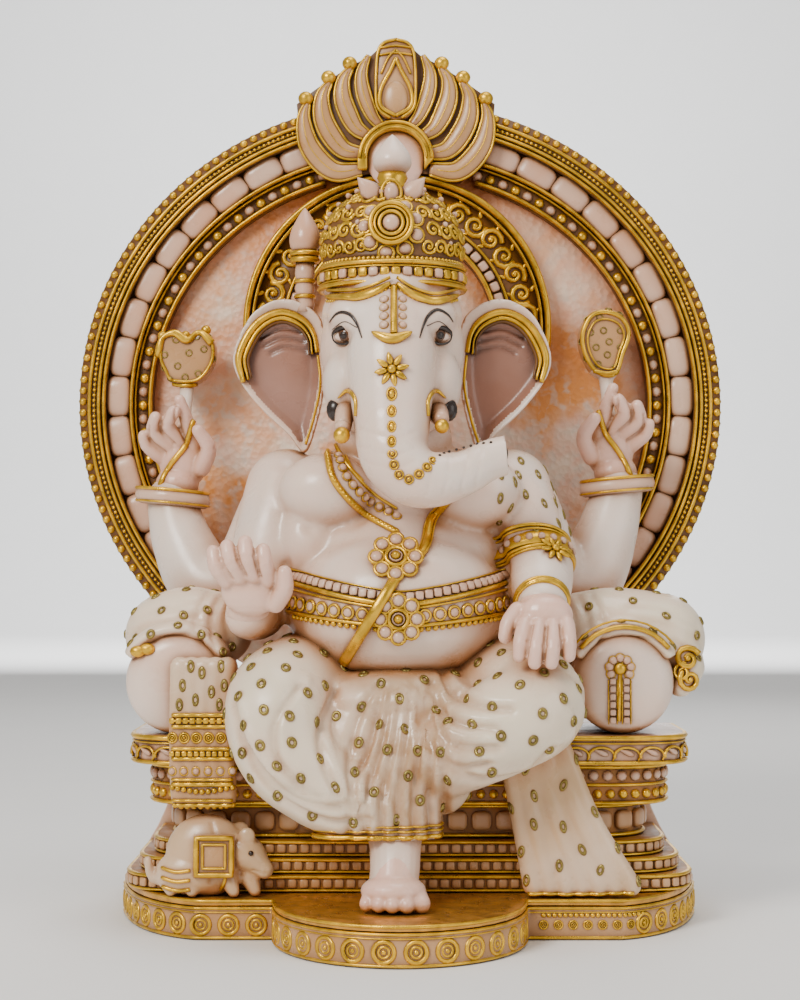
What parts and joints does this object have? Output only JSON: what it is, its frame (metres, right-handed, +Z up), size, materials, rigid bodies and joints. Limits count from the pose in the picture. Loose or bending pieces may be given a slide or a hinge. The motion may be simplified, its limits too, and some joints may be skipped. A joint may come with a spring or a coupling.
{
  "type": "ganesha idol",
  "caption": "Seated elephant-headed deity idol of carved marble with gilded relief, on a moulded throne with bolsters, before an oval halo with a lotus crest.",
  "frame": {"origin": "on the floor under the middle of the idol's overall box", "axes": "+Z up, -Y the way the figure faces, +X to the viewer's right"},
  "size_m": [0.4552, 0.304, 0.605],
  "materials": {
    "white_marble": "polished white marble with faint pink and lilac tints",
    "rose_marble": "carved marble washed pink and cream, satin",
    "cloth_marble": "cream marble carved as dotted cloth, with painted gold motifs",
    "gilded_marble": "marble mouldings lined in gold leaf and brown wash",
    "gilding": "antique gold leaf over carved relief, brown patina in the hollows",
    "dowel_steel": "plain stainless steel rod"
  },
  "bodies": {
    "root": {"aureole_band": "gilding", "aureole_rim": "gilding", "axe": "gilding", "base_plinth": "white_marble", "bolster_cloth_left": "cloth_marble", "bolster_cloth_right": "cloth_marble", "bolster_left": "white_marble", "bolster_right": "white_marble", "cloth_fall_left": "cloth_marble", "cloth_fall_right": "cloth_marble", "crest_dowel": "dowel_steel", "crest_fan": "rose_marble", "crest_leaf": "rose_marble", "crest_medallion": "gilding", "crown_band": "gilding", "crown_dome": "gilding", "crown_dowel": "dowel_steel", "crown_finial": "white_marble", "crown_side_finial": "white_marble", "ear_left": "white_marble", "ear_right": "white_marble", "figure_dowel": "dowel_steel", "foot": "white_marble", "front_arm_left": "white_marble", "front_arm_right": "cloth_marble", "front_hand_left": "white_marble", "front_hand_right": "white_marble", "goad": "gilding", "halo_beads_left": "gilding", "halo_beads_right": "gilding", "halo_dowel_left": "dowel_steel", "halo_dowel_right": "dowel_steel", "halo_petals_left": "white_marble", "halo_petals_right": "white_marble", "halo_rim_left": "gilding", "halo_rim_right": "gilding", "halo_slab": "rose_marble", "head": "white_marble", "lap_drape": "cloth_marble", "leg_left": "cloth_marble", "leg_right": "cloth_marble", "mouse": "white_marble", "mouse_saddle": "gilding", "plinth_ledge": "gilding", "rear_arm_left": "white_marble", "rear_arm_right": "white_marble", "rear_hand_left": "white_marble", "rear_hand_right": "white_marble", "throne_back": "white_marble", "throne_bead_course": "gilded_marble", "throne_cap": "gilded_marble", "throne_foot": "gilded_marble", "throne_lower_step": "gilded_marble", "throne_upper_step": "gilded_marble", "throne_waist": "gilded_marble", "torso": "white_marble", "trunk": "white_marble", "tusk_left": "white_marble", "tusk_right": "white_marble"}
  },
  "joints": []
}
